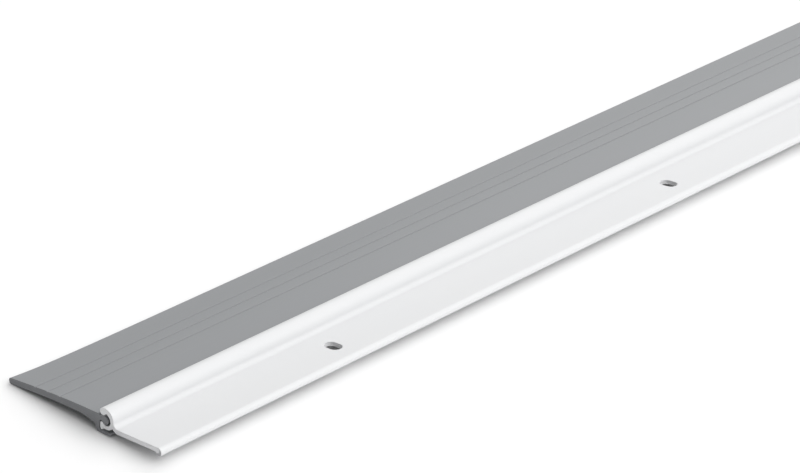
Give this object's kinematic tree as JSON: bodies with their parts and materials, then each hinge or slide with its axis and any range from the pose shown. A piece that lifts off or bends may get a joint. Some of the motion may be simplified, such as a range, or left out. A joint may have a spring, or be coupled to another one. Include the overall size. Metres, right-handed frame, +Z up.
{
  "type": "threshold strip",
  "caption": "Two-piece threshold strip: a slotted white carrier extrusion and a grey soft lip that pivots in its round socket.",
  "frame": {"origin": "bottom centre of the bounding box: middle of the strip's length and width, on the floor plane that the lip's tip and foot rest on", "axes": "+X along the strip, +Y towards the soft lip's tip, +Z up from the floor"},
  "size_m": [1, 0.0856, 0.0117],
  "materials": {
    "white_carrier": "white powder coat",
    "grey_lip": "satin soft PVC"
  },
  "bodies": {
    "carrier": {"carrier_profile": "white_carrier"},
    "lip": {"seal_lip": "grey_lip"}
  },
  "joints": [
    {"name": "lip_pivot", "type": "hinge", "parent": "carrier", "child": "lip", "pos_m": [0, -0.01153, 0.0065], "axis": [1, 0, 0], "range_deg": [0, 8]}
  ]
}
